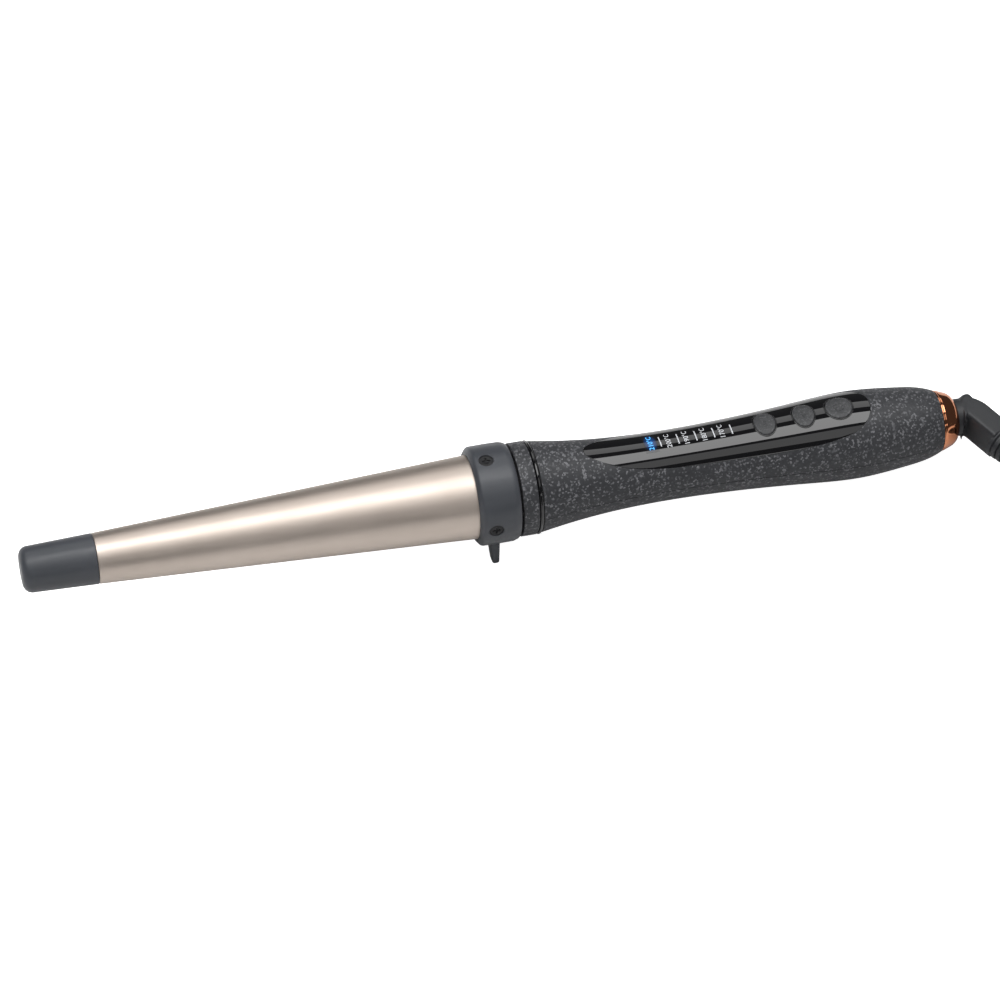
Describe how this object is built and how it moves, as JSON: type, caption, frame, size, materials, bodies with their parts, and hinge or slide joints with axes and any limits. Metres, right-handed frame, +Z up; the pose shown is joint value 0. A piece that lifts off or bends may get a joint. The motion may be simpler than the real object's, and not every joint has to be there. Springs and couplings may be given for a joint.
{
  "type": "curling wand",
  "caption": "Conical curling wand with a cool tip, two moulded rest feet, a flush lit temperature panel with press buttons, and a swivelling cord with plug.",
  "frame": {"origin": "on the surface that the wand rests on, below the middle of its length without the elbow and cord, in its plane of symmetry", "axes": "+Z up from the resting surface, +X from the cool tip towards the cord, the button side facing up; the wand's axis falls towards +X by the resting tilt of about 3.3 degrees"},
  "size_m": [0.5729, 0.0824, 0.0445],
  "materials": {
    "slate_plastic": "satin, heat resistant",
    "champagne_metal": "satin champagne coating",
    "charcoal_shell": "satin charcoal with fine sparkle",
    "gloss_black": "high gloss",
    "copper": "polished rose copper",
    "black_rubber": "satin, soft",
    "dark_steel": "blackened",
    "button_grey": "matt, soft touch",
    "inner_plastic": "moulded, uncoloured",
    "blue_led": "clear encapsulated",
    "board_green": "lacquered board",
    "contact_brass": "bright",
    "component_black": "moulded",
    "component_yellow": "moulded",
    "fuse_glass": "clear tube",
    "heater_ceramic": "fired, matt",
    "spreader_aluminium": "extruded",
    "lead_insulation": "heat-resistant sleeve",
    "cord_black": "satin sheath",
    "tie_black": "woven hook and loop",
    "plug_black": "moulded, satin",
    "plug_nickel": "nickel plated"
  },
  "bodies": {
    "root": {"barrel": "champagne_metal", "barrel_seat": "component_black", "board_standoffs": "contact_brass", "brush_contacts": "contact_brass", "collar": "slate_plastic", "collar_screws": "dark_steel", "control_board": "board_green", "control_screws": "dark_steel", "cool_tip": "slate_plastic", "cord_hank": "cord_black", "cord_lead": "cord_black", "cord_tie": "tie_black", "film_capacitor": "component_yellow", "fuse": "fuse_glass", "gloss_ring": "gloss_black", "heat_spreader_lower": "spreader_aluminium", "heat_spreader_upper": "spreader_aluminium", "heater_element": "heater_ceramic", "heater_leads": "lead_insulation", "light_guide": "inner_plastic", "lower_shell": "charcoal_shell", "mains_leads": "lead_insulation", "panel_lens": "gloss_black", "plug_body": "plug_black", "plug_lead": "cord_black", "plug_pins": "plug_nickel", "power_board": "board_green", "power_screws": "dark_steel", "rear_ring": "copper", "scale_leds": "blue_led", "swivel_socket_lower": "inner_plastic", "swivel_socket_upper": "inner_plastic", "tact_switches": "inner_plastic", "thermistor": "heater_ceramic", "thermistor_leads": "lead_insulation", "triac": "component_black", "upper_shell": "charcoal_shell"},
    "minus_key": {"minus_button": "button_grey", "minus_plunger": "inner_plastic"},
    "plus_key": {"plus_button": "button_grey", "plus_plunger": "inner_plastic"},
    "power_key": {"power_button": "button_grey", "power_plunger": "inner_plastic"},
    "swivel": {"swivel_stem": "inner_plastic", "contact_rings": "contact_brass", "cord_elbow": "black_rubber"}
  },
  "joints": [
    {"name": "minus_press", "type": "slide", "parent": "root", "child": "minus_key", "axis": [-0.0572, 0, -0.9984], "range_m": [0, 0.0004], "stiffness_N_per_m": 400},
    {"name": "plus_press", "type": "slide", "parent": "root", "child": "plus_key", "axis": [-0.0572, 0, -0.9984], "range_m": [0, 0.0004], "stiffness_N_per_m": 400},
    {"name": "power_press", "type": "slide", "parent": "root", "child": "power_key", "axis": [-0.0572, 0, -0.9984], "range_m": [0, 0.0004], "stiffness_N_per_m": 400},
    {"name": "cord_swivel", "type": "hinge", "parent": "root", "child": "swivel", "pos_m": [0.1803, 0, 0.0147], "axis": [-0.9984, 0, 0.0572], "continuous": true}
  ]
}
